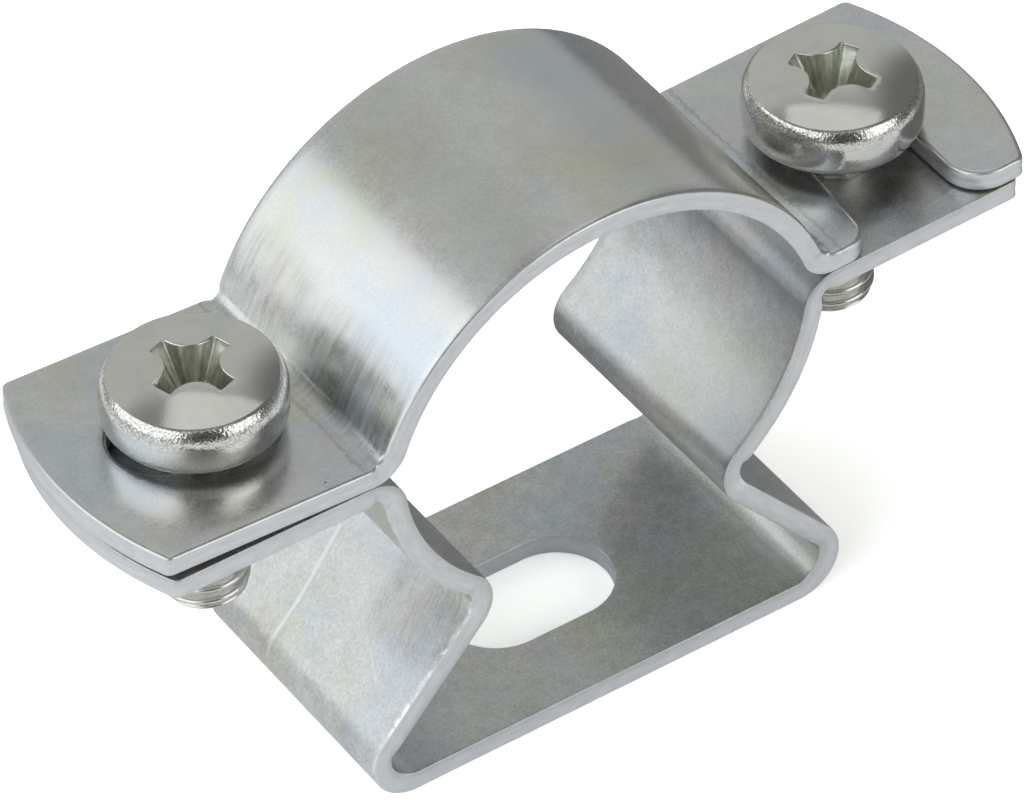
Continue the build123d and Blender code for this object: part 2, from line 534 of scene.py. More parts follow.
def fill_face(loops, grid):
    """Triangles between closed loops of points, with the grid points that lie well inside."""
    edge_points = np.vstack(loops)
    grid = grid[in_metal(grid, loops)]
    gap = np.full(len(grid), np.inf)
    for i in range(0, len(edge_points), gap_batch):
        apart = grid[:, None] - edge_points[i:i + gap_batch]
        gap = np.minimum(gap, np.hypot(apart[..., 0], apart[..., 1]).min(1))
    given = np.vstack([edge_points, grid[gap > least_gap]])

    borders, first = [], 0
    for loop in loops:
        count = len(loop)
        borders += [(first + i, first + (i + 1) % count) for i in range(count)]
        first += count
    found, _, triangles, origin, _, _ = geometry.delaunay_2d_cdt(
        [Vector(p) for p in given], borders, [], 0, same_point, True
    )
    places = np.array([tuple(p) for p in found])
    middles = np.array([places[list(t)].mean(0) for t in triangles])
    given_as = [o[0] for o in origin]
    kept = in_metal(middles, loops)
    return given, [[given_as[v] for v in t] for t, keep in zip(triangles, kept) if keep]


square = [run((0, 0), (4, 0)), run((4, 0), (4, 4)), run((4, 4), (0, 4)), run((0, 4), (0, 0))]
print("a 4 mm square takes", len(fill_face([np.vstack(square)], np.array([(2.0, 2.0)]))[1]), "triangles")

# %% [markdown]
# A blank is its lofted edges and its two filled faces. Every point keeps where it was in the
# flat blank, and how far it is on the cut edge, because the finish needs both. Triangles on the
# underside are turned over, so that all of them face out.

# %% Cutting a blank
def loft(first, count, levels):
    """Quads between closed rings of count points each, which follow one another from index first."""
    return [
        (low + i, low + (i + 1) % count, low + count + (i + 1) % count, low + count + i)
        for low in range(first, first + (levels - 1) * count, count)
        for i in range(count)
    ]


def cut_blank(loops, profile, grid):
    """A flat blank: its points as (along, across, height), its faces and its cut-edge share."""
    points, faces, cut = [], [], []
    tops, bottoms, first = [], [], 0
    for loop in loops:
        away, count = outward(loop), len(loop)
        for (inset, height), share in zip(profile, cut_shares(profile)):
            points.append(np.column_stack([loop - away * inset, np.full(count, height)]))
            cut.append(np.full(count, share))
        faces += loft(first, count, len(profile))
        bottoms.append(np.arange(first, first + count))
        first += count * len(profile)
        tops.append(np.arange(first - count, first))

    edge_points = np.vstack(points)
    for rings, height in ((tops, sheet / 2), (bottoms, -sheet / 2)):
        given, triangles = fill_face([edge_points[ring, :2] for ring in rings], grid)
        on_rings = np.concatenate(rings)
        extra = given[len(on_rings):]
        index = np.concatenate([on_rings, first + np.arange(len(extra))])
        points.append(np.column_stack([extra, np.full(len(extra), height)]))
        cut.append(np.zeros(len(extra)))
        first += len(extra)
        for a, b, c in triangles:
            ab, ac = given[b] - given[a], given[c] - given[a]
            faces_up = ab[0] * ac[1] - ab[1] * ac[0] > 0
            order = (a, b, c) if faces_up == (height > 0) else (a, c, b)
            faces.append(tuple(int(index[v]) for v in order))
    return np.vstack(points), faces, np.concatenate(cut)


print("two rings of three points are joined by", loft(0, 3, 2))

# %% [markdown]
# Half a strip is a chain of straights and bends, and the other half is its mirror image. The
# chain is followed along the middle of the sheet, where bending neither stretches nor shortens
# it, so a length in the flat blank is the same length in the bent strip. A bend is given by its
# length along that middle line and the angle that it turns, upwards if positive.

# %% The chain of bends
def step_along(place, heading, length, turn, distance):
    """The middle line's place, as x and z, after some distance on a straight or a bend."""
    if turn == 0:
        return place[0] + distance * cos(heading), place[1] + distance * sin(heading)
    radius, angle = length / turn, heading + turn * distance / length
    return (
        place[0] + radius * (np.sin(angle) - sin(heading)),
        place[1] + radius * (cos(heading) - np.cos(angle)),
    )


def lay_out(place, segments):
    """Where each straight or bend begins: travelled length, place, heading, length and turn."""
    stations, travelled, heading = [], 0.0, 0.0
    for length, turn in segments:
        stations.append((travelled, place, heading, length, turn))
        place = step_along(place, heading, length, turn, length)
        heading += turn
        travelled += length
    return stations


def reach_along(stations, x):
    """The travelled length at which the last straight gets as far out as x."""
    begin, place, heading, _, _ = stations[-1]
    return begin + (x - place[0]) / cos(heading)


def blank_half(stations, half_length):
    """Half the blank's length. A sprung end's lower corner leans out, and may not pass half_length."""
    return reach_along(stations, half_length - sheet / 2 * sin(stations[-1][2]))


quarter_turn = lay_out((0, 0), [(5, 0), (pi, pi / 2), (5, 0)])
print("a quarter turn begins", quarter_turn[1][0], "mm along and ends", round(quarter_turn[2][0], 2))

# %% [markdown]
# To bend the blank, each point finds its place on the chain from how far along it is, and then
# moves off the middle line by its height in the sheet. Blender's simple deform modifier bends at
# one even rate only, so it can't follow a chain. A real bend also draws its two edges in where
# the metal stretches, and the outline is pulled in a little there.

# %% Bending a blank
bend_ease = 0.25


def bend_half(travelled, height, stations):
    """Distance out, height in space and curving of points on one half of a strip."""
    x, z, heading, curving = (np.zeros(len(travelled)) for _ in range(4))
    for begin, place, first_heading, length, turn in stations:
        last = begin == stations[-1][0]
        here = (travelled >= begin) & ((travelled < begin + length) | last)
        done = travelled[here] - begin
        x[here], z[here] = step_along(place, first_heading, length, turn, done)
        heading[here] = first_heading + turn * done / length
        if turn:
            ease = np.minimum(done, length - done) / (bend_ease * length)
            curving[here] = turn / length * np.clip(ease, 0, 1)
    return np.stack([x - height * np.sin(heading), z + height * np.cos(heading), curving])


def bend_points(blank, left_stations, right_stations, bulge):
    """Places in space of the blank's points, in millimetres."""
    along, across, height = blank.T
    left_bent = bend_half(-along, height, left_stations)
    right_bent = bend_half(along, height, right_stations)
    x, z, curving = np.where(along < 0, left_bent * [[-1], [1], [1]], right_bent)

    near_edge = np.clip(1 - (half_width - np.abs(across)) / sheet, 0, 1) ** 2
    drawn_in = bulge * near_edge * (sheet / 2 * np.abs(curving) + height * curving)
    return np.column_stack([x, across - np.sign(across) * drawn_in, z])


def grid_rows(stations, bend_step_deg=4.0, flat_step=0.6, across_step=0.6):
    """A grid over the whole blank, with its rows close together where it will bend."""
    rows = [0.0]
    for begin, _, _, length, turn in stations:
        wanted = abs(degrees(turn)) / bend_step_deg if turn else length / flat_step
        count = max(2, ceil(wanted))
        rows += [begin + length * (k + 1) / count for k in range(count)]
    rows = [-u for u in rows[:0:-1]] + rows
    columns = np.arange(-half_width + across_step / 2, half_width, across_step)
    return np.array([(u, v) for u in rows for v in columns])


print("a chain with a quarter turn gets", len(grid_rows(quarter_turn)), "grid points")

# %% [markdown]
# A piece is a mesh made straight from points and faces. What the finish needs later, such as
# the place in the flat blank, goes along as values on the points.

# %% A piece from points
def new_piece(name, places, faces, values):
    """An object from points in millimetres, smooth, with named values kept on its points."""
    mesh = bpy.data.meshes.new(name)
    mesh.from_pydata([tuple(p) for p in np.asarray(places) * mm], [], faces)
    mesh.validate()
    mesh.shade_smooth()
    for key, value in values.items():
        value = np.asarray(value, np.float32)
        kind, field = ("FLOAT", "value") if value.ndim == 1 else ("FLOAT_VECTOR", "vector")
        mesh.attributes.new(key, kind, "POINT").data.foreach_set(field, value.ravel())
    piece = bpy.data.objects.new(name, mesh)
    scene.collection.objects.link(piece)
    print(name, "has", sum(len(p.vertices) - 2 for p in mesh.polygons), "triangles")
    return piece


print("one millimetre is", mm, "m in every piece")

# %% [markdown]
# ## The cradle strip
# A flat footing, a tight fold under each end, walls that lean in to a waist, arcs that carry the
# conduit, and flat flanges for the screws. The waist bend touches both the leaning wall and the
# arc. That place could be found by trial, but both are fixed by the arc's centre, so a right
# triangle gives the wall's length. Each radius is that of the middle of the sheet, half a
# thickness from the face that a drawing would give.

# %% The cradle strip's bends
conduit_radius = 12.5
conduit_clearance = 0.1
footing_half_length = 15.05
wall_lean = radians(48.5)
right_flange_spring = 1.8
fold_radius = 2.6 - sheet / 2
waist_radius = 1.2 + sheet / 2
arc_radius = conduit_radius + conduit_clearance + sheet / 2
cradle_flange_radius = 0.9 + sheet / 2

fold_x = footing_half_length - fold_radius - sheet / 2
fold_turn = pi - wall_lean
wall_start = np.array([
    fold_x + fold_radius * sin(fold_turn),
    sheet / 2 + fold_radius * (1 - cos(fold_turn)),
])
wall_way = np.array([cos(fold_turn), sin(fold_turn)])
wall_right = np.array([wall_way[1], -wall_way[0]])
to_centre = np.array([0, seat_height]) - wall_start
aside = waist_radius - to_centre @ wall_right
wall_length = to_centre @ wall_way - sqrt((arc_radius + waist_radius) ** 2 - aside**2)
waist_centre = wall_start + wall_length * wall_way + waist_radius * wall_right
waist_angle = atan2(waist_centre[1] - seat_height, waist_centre[0])
flange_angle = -asin((cradle_flange_radius + sheet / 2) / (arc_radius + cradle_flange_radius))

waist_turn = waist_angle + pi / 2 - fold_turn
arc_turn = flange_angle - waist_angle


def cradle_half(spring_deg):
    """Half the cradle's chain, its flange sprung up by spring_deg degrees."""
    flange_turn = radians(spring_deg) - pi / 2 - flange_angle
    return lay_out((0, sheet / 2), [
        (fold_x, 0),
        (fold_radius * fold_turn, fold_turn),
        (wall_length, 0),
        (waist_radius * -waist_turn, waist_turn),
        (arc_radius * arc_turn, arc_turn),
        (cradle_flange_radius * -flange_turn, flange_turn),
        (cradle_half_length, 0),
    ])


cradle_left, cradle_right = cradle_half(0), cradle_half(right_flange_spring)
left_blank_end = blank_half(cradle_left, cradle_half_length)
right_blank_end = blank_half(cradle_right, cradle_half_length)
print(f"flat blank of the cradle: {left_blank_end + right_blank_end:.1f} mm, walls {wall_length:.2f} mm")

# %% [markdown]
# The blank has a slot in its footing for the wall screw and a threaded hole in each flange. A
# place in a flange lies further out in the blank than in the finished strip, by the metal that
# the bends take up. Its edges look crisp in the photograph, so they hardly roll over.

# %% The cradle strip, cut and bent
wall_slot_width = 6.4
wall_slot_length = 10.3
right_screw_low, right_screw_high = box_mm("screw_right")
screw_half_spacing = (right_screw_low[0] + right_screw_high[0]) / 2
thread_radius = 2.42
thread_clearance = 0.05
edge_bulge = 0.32

left_corner = corner_back - bow_corner(left_blank_end)
right_corner = bow_corner(right_blank_end) - corner_back
cradle_loops = [
    np.vstack([
        run((left_corner, -half_width), (right_corner, -half_width)),
        right_end(right_blank_end),
        run((right_corner, half_width), (left_corner, half_width)),
        left_end(left_blank_end),
    ]),
    hole((0, 0), wall_slot_width / 2, (wall_slot_length - wall_slot_width) / 2),
    hole((-reach_along(cradle_left, screw_half_spacing), 0), thread_radius + thread_clearance),
    hole((reach_along(cradle_right, screw_half_spacing), 0), thread_radius + thread_clearance),
]
cradle_edge = edge_profile(roll_over=0.06, roll_depth=0.06, tear=0.02, burr=0.05)
cradle_blank, cradle_faces, cradle_cut = cut_blank(cradle_loops, cradle_edge, grid_rows(cradle_left))
cradle_places = bend_points(cradle_blank, cradle_left, cradle_right, edge_bulge)
cradle_strip = new_piece(
    "cradle_strip", cradle_places, cradle_faces, {"blank": cradle_blank, "cut": cradle_cut}
)

# %% [markdown]
# ## The swinging strap
# One arch, a bend at each foot, and two flanges that spring up a little. The two halves bend
# alike, so one chain serves both.

# %% The strap's bends
arch_outer_radius = 14.55
arch_radius = arch_outer_radius - sheet / 2
arch_centre = strap_high[2] - arch_outer_radius
strap_seat_gap = 0.03
strap_foot_radius = 0.9 + sheet / 2
flange_spring = radians(2.5)

foot_height = seat_height + strap_seat_gap + sheet / 2 + strap_foot_radius
foot_angle = asin((foot_height - arch_centre) / (arch_radius + strap_foot_radius))
arch_turn = foot_angle - pi / 2
foot_turn = flange_spring - arch_turn
strap_stations = lay_out((0, arch_centre + arch_radius), [
    (arch_radius * -arch_turn, arch_turn),
    (strap_foot_radius * foot_turn, foot_turn),
    (strap_half_length, 0),
])
strap_blank_half = blank_half(strap_stations, strap_half_length)
print(f"flat blank of the strap: {2 * strap_blank_half:.1f} mm long")

# %% [markdown]
# The left flange has a closed slot, in which the strap pivots on the left screw. The right slot
# is open to the front edge, so that the strap swings off once the screws are slack. Its inner
# edge slants, because a point on a strap that swings about the left screw leaves along an arc.
# The outline could be a rectangle with the slots cut out of it, but a slot that is open to the
# edge is simply part of the outline.

# %% The strap, cut and bent
pivot_slot_clearance = 0.28
pivot_slot_travel = 2.2
open_slot_clearance = 0.1
open_slot_spare = 0.75
mouth_inner_round = 1.4
mouth_outer_round = 2.2
swing_radius = 2 * screw_half_spacing
swing_drift = swing_radius - sqrt(swing_radius**2 - half_width**2)

open_slot_inner = screw_half_spacing - thread_radius - open_slot_clearance
open_slot_outer = screw_half_spacing + thread_radius + open_slot_spare
slot_radius = (open_slot_outer - open_slot_inner) / 2
slot_x = reach_along(strap_stations, (open_slot_outer + open_slot_inner) / 2)
slot_inner, slot_outer = slot_x - slot_radius, slot_x + slot_radius
front_end = bow_corner(strap_blank_half) - corner_back
strap_outline = np.vstack([
    rounded_run(
        [(-front_end, -half_width), (slot_inner - swing_drift, -half_width), (slot_inner, 0)],
        [mouth_inner_round],
    ),
    arc((slot_x, 0), slot_radius, 180, 0),
    rounded_run(
        [(slot_outer, 0), (slot_outer, -half_width), (front_end, -half_width)],
        [mouth_outer_round],
    ),
    right_end(strap_blank_half),
    run((front_end, half_width), (-front_end, half_width)),
    left_end(strap_blank_half),
])
pivot_x = -reach_along(strap_stations, screw_half_spacing)
pivot_slot = hole((pivot_x, 0), thread_radius + pivot_slot_clearance, pivot_slot_travel)
strap_loops = [strap_outline, pivot_slot]
strap_edge = edge_profile(roll_over=0.28, roll_depth=0.18, tear=0.03, burr=0.05)
strap_grid = grid_rows(strap_stations, bend_step_deg=2.5)
strap_blank, strap_faces, strap_cut = cut_blank(strap_loops, strap_edge, strap_grid)
strap_places = bend_points(strap_blank, strap_stations, strap_stations, edge_bulge)
swing_strap = new_piece("swing_strap", strap_places, strap_faces, {"blank": strap_blank, "cut": strap_cut})

# %% [markdown]
# ## The clamping screws
# A pan head is pressed from wire: a rounded foot, a nearly straight side, a rolled rim and a low
# dome, which meet in a soft crease. All of that is round about the screw's axis, so one profile
# turned about it gives the shape. Many steps round keep the outline from looking cornered.

# %% The head's profile
steps_round = 96
head_radius = 4.9
head_height = 3.55
crease_radius = 4.42
crease_height = 2.98
foot_flat_radius = 4.35
foot_round_height = 0.7
rim_round = 1.5
side_barrel = 0.02
dome_fill_radius = 4.1
under_radii = (3.0, 3.8)
crease_insets = (0.04, 0.12)
foot_steps, side_steps, rim_steps = 8, 6, 9

side_radius = head_radius - side_barrel
rim_centre_x = side_radius - rim_round
rim_last = acos((crease_radius - rim_centre_x) / rim_round)
rim_centre_z = crease_height - rim_round * sin(rim_last)
dome_rise = head_height - crease_height
dome_radius = (crease_radius**2 + dome_rise**2) / (2 * dome_rise)


def dome_height(radius):
    """Height of the dome above the head's foot at some radius."""
    return head_height - dome_radius + np.sqrt(dome_radius**2 - radius**2)


def head_profile():
    """Radius and height above the head's foot, from the shank out and up to the dome."""
    under_side = [(r, 0.0) for r in (thread_radius, *under_radii)]
    foot = [
        (foot_flat_radius + (side_radius - foot_flat_radius) * sin(a), foot_round_height * (1 - cos(a)))
        for a in np.linspace(0, pi / 2, foot_steps)
    ]
    side_height = rim_centre_z - foot_round_height
    side = [
        (head_radius - side_barrel * (2 * s - 1) ** 2, foot_round_height + side_height * s)
        for s in np.linspace(0, 1, side_steps)[1:-1]
    ]
    rim = [
        (rim_centre_x + rim_round * cos(a), rim_centre_z + rim_round * sin(a))
        for a in np.linspace(0, rim_last, rim_steps)
    ]
    dome_radii = (*(crease_radius - inset for inset in crease_insets), dome_fill_radius)
    return [*under_side, *foot, *side, *rim, *((r, float(dome_height(r))) for r in dome_radii)]


print(f"rim rolls over {degrees(rim_last):.0f} degrees into a dome of radius {dome_radius:.1f} mm")

# %% [markdown]
# A real thread is a helix. A stack of rings would look alike at a glance, but its lines would
# lie level. Here the rows of a grid climb one pitch in each turn, so a row stays on the crest
# all the way. Where the helix passes the shank's two ends, its points are clamped level and
# welded, which closes the shank cleanly.

# %% The threaded shank
shank_length = 12.0
thread_pitch = 0.8
thread_root_radius = 1.93
thread_rows = 12
flank_slope, flank_width = 1.12, 0.78
crest_rounding = 0.35
tip_radius = 1.85
tip_cone_length = 0.6
run_out_length = 0.7


def held(value, highest=1.0):
    """A value held between 0 and its highest."""
    return min(max(value, 0.0), highest)


def thread_point_radius(phase, height):
    """Radius at some part of a pitch and some height above the shank's tip."""
    from_crest = abs(phase - 0.5) * 2
    share = held((1.0 - from_crest * flank_slope) / flank_width)
    rise = share * share * (3 - 2 * share) * crest_rounding + share * (1 - crest_rounding)
    radius = thread_root_radius + (thread_radius - thread_root_radius) * rise
    cone = tip_radius + (thread_radius - tip_radius) * min(height / tip_cone_length, 1.0)
    run_out = held((height - (shank_length - run_out_length)) / run_out_length)
    return min(radius + (thread_radius - radius) * run_out, cone)


def threaded_shank():
    """Points and faces of an open tube, from the tip up to the head's foot."""
    rows = (ceil(shank_length / thread_pitch) + 2) * thread_rows
    points, faces = [], []
    for i in range(steps_round):
        angle = 2 * pi * i / steps_round
        for k in range(rows):
            height = held((k / thread_rows - 1 + i / steps_round) * thread_pitch, shank_length)
            radius = thread_point_radius((k % thread_rows) / thread_rows, height)
            points.append((radius * cos(angle), radius * sin(angle), height - shank_length))
        # The last column meets the first one again, a whole pitch higher up.
        closes = i == steps_round - 1
        for k in range(rows - 1 - (thread_rows if closes else 0)):
            here = i * rows + k
            over = k + thread_rows if closes else here + rows
            faces.append((here, over, over + 1, here + 1))
    return points, faces


print("thread turns:", shank_length / thread_pitch)

# %% [markdown]
# The cross recess is a punched hole with four flared wings. Between two wings the metal stands
# as a rounded nose, and its lip is slightly rolled. A boolean cut in the dome would shade badly
# round such a hole. Instead the dome is filled up to the recess outline, as the blanks were, and
# the walls are lofted down from there while the cross gets smaller.

# %% The cross recess
recess_tip_radius = 2.4
recess_wing_width = 1.1
recess_waist_radius = 1.35
recess_spacing = 0.06


def circle_centre(a, b, c):
    """Centre of the circle through three points."""
    rows = np.array([b - a, c - a])
    return np.linalg.solve(rows, [(b @ b - a @ a) / 2, (c @ c - a @ a) / 2])


def turned(points, angle):
    """Points turned about the screw's axis."""
    return points @ np.array([(cos(angle), sin(angle)), (-sin(angle), cos(angle))])


def recess_outline(softening):
    """The cross seen from above, the head's metal on its left. Each softening step rounds its corners."""
    half_wing = recess_wing_width / 2
    tip = sqrt(recess_tip_radius**2 - half_wing**2)
    flank = recess_waist_radius / sqrt(2)
    start, middle, end = np.array([(tip, half_wing), (flank, flank), (half_wing, tip)])
    centre = circle_centre(start, middle, end)
    first = degrees(atan2(*(start - centre)[::-1]))
    last = degrees(atan2(*(end - centre)[::-1]))
    last = last - 360 if last > first else last
    nook = arc(centre, np.linalg.norm(start - centre), first, last, recess_spacing)
    wing_end = run((half_wing, tip), (-half_wing, tip), recess_spacing)
    quarter = np.vstack([nook, wing_end])
    loop = np.vstack([turned(quarter, pi / 2 * k) for k in range(4)])
    for _ in range(softening):
        loop = (np.roll(loop, 1, 0) + 2 * loop + np.roll(loop, -1, 0)) / 4
    return loop[::-1]


print("recess outline:", len(recess_outline(0)), "points")

# %% [markdown]
# A screw's skin is collected part by part: points, faces, and two shares for each point that
# tell the finish how grainy it is and how dull. The grain is full on the rolled rim and faint on
# the side, and stops short of the dome's crease.

# %% The skin and the head
side_grain = 0.22
grain_foot, grain_fade = 1.6, 0.7
grain_inner, grain_inner_fade = 4.39, 0.12
ring_angles = 2 * pi * np.arange(steps_round) / steps_round
circle = np.stack([np.cos(ring_angles), np.sin(ring_angles)], 1)


class Skin:
    """One screw's points and faces, with the rim share and the recess share of each point."""

    def __init__(self):
        self.points, self.faces, self.rim, self.recess = [], [], [], []

    def add_points(self, places, rim=0.0, recess=0.0):
        """Add points that have the same two shares, and give the index of the first one."""
        first = len(self.points)
        self.points += [tuple(p) for p in places]
        self.rim += [rim] * len(places)
        self.recess += [recess] * len(places)
        return first

    def add_rings(self, rings, rim_shares, recess_shares):
        """Loft closed rings of equally many points, in the order given."""
        self.faces += loft(len(self.points), len(rings[0]), len(rings))
        for ring, rim, recess in zip(rings, rim_shares, recess_shares):
            self.add_points(ring, rim, recess)


def grain_share(radius, height):
    """How grainy the head is at some radius and height above its foot."""
    up_the_side = np.clip((height - grain_foot) / grain_fade, side_grain, 1)
    off_the_dome = np.clip((radius - grain_inner) / grain_inner_fade, 0, 1)
    return float(up_the_side * off_the_dome)


def add_head(skin):
    """The head from the shank out to the edge of its dome."""
    profile = head_profile()
    rings = [np.column_stack([circle * r, np.full(steps_round, z)]) for r, z in profile]
    skin.add_rings(rings, [grain_share(r, z) for r, z in profile], [0.0] * len(rings))


print("the head has", len(head_profile()), "rings of", steps_round, "points")

# %% [markdown]
# The dome is filled between its edge and the recess, and the recess goes down from there in
# rings: a rolled lip, walls that close in, and a shallow cone for its floor.

# %% The dome and the recess
recess_depth = 2.4
recess_floor_ratio = 0.45
recess_cone_depth = 0.35
recess_lip = 0.10
dome_spacing = 0.22
lip_steps, wall_steps = 5, 9
cone_scales = (0.6, 0.3, 0.06)
rings_to_dull = 5


def add_dome(skin, lip):
    """The dome, filled with triangles from its edge up to the recess's lip."""
    grid_line = np.arange(-dome_fill_radius, dome_fill_radius, dome_spacing)
    grid = np.array([(x, y) for x in grid_line for y in grid_line])
    given, triangles = fill_face([circle * dome_fill_radius, lip], grid)
    first = skin.add_points(np.column_stack([given, dome_height(np.hypot(*given.T))]))
    skin.faces += [tuple(first + v for v in t) for t in triangles]


def add_recess(skin, cross, into_hole):
    """The recess's rolled lip, its walls and its floor."""
    rings, count = [], len(cross)
    lip_height = dome_height(np.hypot(*(cross - into_hole * recess_lip).T))
    for a in np.linspace(0, pi / 2, lip_steps):
        edge = cross - into_hole * recess_lip * (1 - sin(a))
        rings.append(np.column_stack([edge, lip_height - recess_lip * (1 - cos(a))]))
    top, floor_height = rings[-1][:, 2], head_height - recess_depth
    for s in np.linspace(0, 1, wall_steps)[1:]:
        scale = 1 + (recess_floor_ratio - 1) * s
        rings.append(np.column_stack([cross * scale, top + (floor_height - top) * s]))
    for s in cone_scales:
        height = floor_height - recess_cone_depth * (1 - s)
        rings.append(np.column_stack([cross * recess_floor_ratio * s, np.full(count, height)]))
    dull_shares = [min(1.0, k / rings_to_dull) for k in range(len(rings))]
    skin.add_rings(rings, [0.0] * len(rings), dull_shares)
    tip = skin.add_points([(0.0, 0.0, floor_height - recess_cone_depth)], recess=1.0)
    skin.faces += [(tip - count + i, tip - count + (i + 1) % count, tip) for i in range(count)]


print("the recess's floor lies", round(head_height - recess_depth, 2), "mm above the head's foot")

# %% [markdown]
# Each screw is its threaded shank, its turned head, its filled dome and the walls of its recess,
# welded into one closed skin. The two screws differ only in where they stand and in how far
# their recesses are turned and worn, as they were left by the screwdriver.

# %% Building a screw
shank_dull_share = 0.3
weld_gap = 0.004
sliver_gap = 0.002


def clamp_screw(name, node, recess_turn_deg, softening):
    """One clamping screw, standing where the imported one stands."""
    skin = Skin()
    shank_points, shank_faces = threaded_shank()
    skin.add_points(shank_points, recess=shank_dull_share)
    skin.faces += shank_faces
    add_head(skin)
    cross = turned(recess_outline(softening), radians(recess_turn_deg))
    into_hole = outward(cross)
    add_dome(skin, cross - into_hole * recess_lip)
    add_recess(skin, cross, into_hole)

    low, high = box_mm(node)
    foot = np.array([(low[0] + high[0]) / 2, (low[1] + high[1]) / 2, low[2] + shank_length])
    shares = {"rim": skin.rim, "recess": skin.recess}
    piece = new_piece(name, np.array(skin.points) + foot, skin.faces, shares)
    welded = bmesh.new()
    welded.from_mesh(piece.data)
    bmesh.ops.remove_doubles(welded, verts=welded.verts, dist=weld_gap * mm)
    bmesh.ops.dissolve_degenerate(welded, edges=welded.edges, dist=sliver_gap * mm)
    bmesh.ops.holes_fill(welded, edges=[e for e in welded.edges if e.is_boundary], sides=0)
    bmesh.ops.recalc_face_normals(welded, faces=welded.faces)
    open_edges = sum(1 for e in welded.edges if not e.is_manifold)
    welded.to_mesh(piece.data)
    welded.free()
    piece.data.shade_smooth()
    print(name, "stands at", foot.round(2), "open edges:", open_edges)
    return piece


left_clamp_screw = clamp_screw("left_clamp_screw", "screw_left", recess_turn_deg=17.0, softening=5)
right_clamp_screw = clamp_screw("right_clamp_screw", "screw_right", recess_turn_deg=30.0, softening=16)

# %% [markdown]
# ## The finishes
# Bright zinc on sheet is never one even tone. It's mottled like frost, faintly iridescent where
# the passivation is thicker, streaked where a tool has drawn it, and it gets a painted highlight
# along its edges. A flat grey metal would look like a drawing. All of it can be made from noise
# that follows the flat blank, so the grain bends with the strip. Noise mostly stays between 0.3
# and 0.7, so a part of that range is stretched wherever a pattern should show clearly.

# %% Noise and marks on the flat blank
usual_noise = (0.3, 0.7)
face_fade = 0.4
mark_core = 0.2
shortest_mark = 1e-6


def noise_of(tree, place, scale, detail=2.0, roughness=0.5, stretch=(1, 1, 1), offset=(0, 0, 0)):
    """Noise over a place in millimetres. A small stretch along an axis draws it out."""
    mapping = {"Vector": place, "Scale": stretch, "Location": offset}
    moved = add_node(tree, "ShaderNodeMapping", mapping).outputs[0]
    inputs = {"Vector": moved, "Scale": scale, "Detail": detail, "Roughness": roughness}
    return add_node(tree, "ShaderNodeTexNoise", inputs).outputs[0]


def mark_mask(tree, place, start, end, width):
    """1 on a straight mark between two places on the blank, falling to 0 beside it."""
    start, end = Vector((*start, 0)), Vector((*end, 0))
    reach = end - start
    away = vector_math(tree, "SUBTRACT", vector_math(tree, "MULTIPLY", place, (1, 1, 0)), start)
    share = vector_math(tree, "DOT_PRODUCT", away, reach)
    share = math_of(tree, "DIVIDE", share, max(reach.length_squared, shortest_mark), clamp=True)
    gap = vector_math(tree, "DISTANCE", away, scaled(tree, reach, share))
    return remap(tree, gap, width, mark_core * width, smooth=True)


def on_face(tree, height, face):
    """1 on the sheet's upper face (1) or its lower one (-1), fading to 0 at its middle."""
    return remap(tree, height, 0.0, face_fade * face)


print("a mark is full over", mark_core, "of its width")

# %% [markdown]
# Broad clouds tint the zinc between olive, a cold blue and a faint pink. One noise could drive a
# colour ramp, but then the tints would always lie in the same order, like a rainbow. Three
# separate clouds over a plain tint cross each other as the real ones do.

# %% Clouds of tint
plain_zinc = (0.745, 0.755, 0.75)
olive_zinc = (0.70, 0.712, 0.63)
blue_zinc = (0.675, 0.72, 0.775)
pink_zinc = (0.73, 0.705, 0.70)


def clouded_tint(tree, place):
    """Plain zinc with clouds of three tints. Each has a scale, an offset, a range and a strength."""
    tint = plain_zinc
    for cloud_tint, scale, offset, thin, thick, strength in (
        (olive_zinc, 0.13, (0, 0, 0), 0.45, 0.66, 1.0),
        (blue_zinc, 0.17, (31, 7, 3), 0.46, 0.66, 1.0),
        (pink_zinc, 0.22, (3, 17, 23), 0.54, 0.70, 0.7),
    ):
        cloud = noise_of(tree, place, scale, offset=offset)
        share = remap(tree, cloud, thin, thick, 0.0, strength, smooth=True)
        tint = mix_colour(tree, share, tint, cloud_tint)
    return tint


print("clouds of", olive_zinc, blue_zinc, "and", pink_zinc)

# %% [markdown]
# Tools leave their own marks. Each strip is rubbed in one zone of travelled lengths, from the
# front edge up to some reach, and the rubbing comes and goes in patches. The die leaves a thin
# wavering line where the strap's flange begins. The cradle's flange bend gets a band of painted
# shade, and the knocked-down burr along the long edges a ragged line of painted highlight.

# %% Tool marks
rub_fade = 1.6
rub_reach_fade = 1.5
wavering_reach = 0.16
band_core = 0.4
burr_and_highlight_begin, burr_and_highlight_full = 0.40, 0.12


def rubbed_zone(tree, place, begin, end, reach, face):
    """1 where a tool has rubbed one face of the blank, between two travelled lengths."""
    along, across, height = add_node(tree, "ShaderNodeSeparateXYZ", {0: place}).outputs
    travelled = math_of(tree, "ABSOLUTE", along)
    begun = remap(tree, travelled, begin - rub_fade, begin, smooth=True)
    ended = remap(tree, travelled, end, end + rub_fade, 1.0, 0.0, smooth=True)
    in_front = remap(tree, across, reach, reach - rub_reach_fade, smooth=True)
    patches = noise_of(tree, place, 0.33, stretch=(0.6, 1.4, 1), offset=(11, 4, 0))
    patches = remap(tree, patches, 0.40, 0.56, 0.25, 1.0, smooth=True)
    return times(tree, begun, ended, on_face(tree, height, face), in_front, patches)


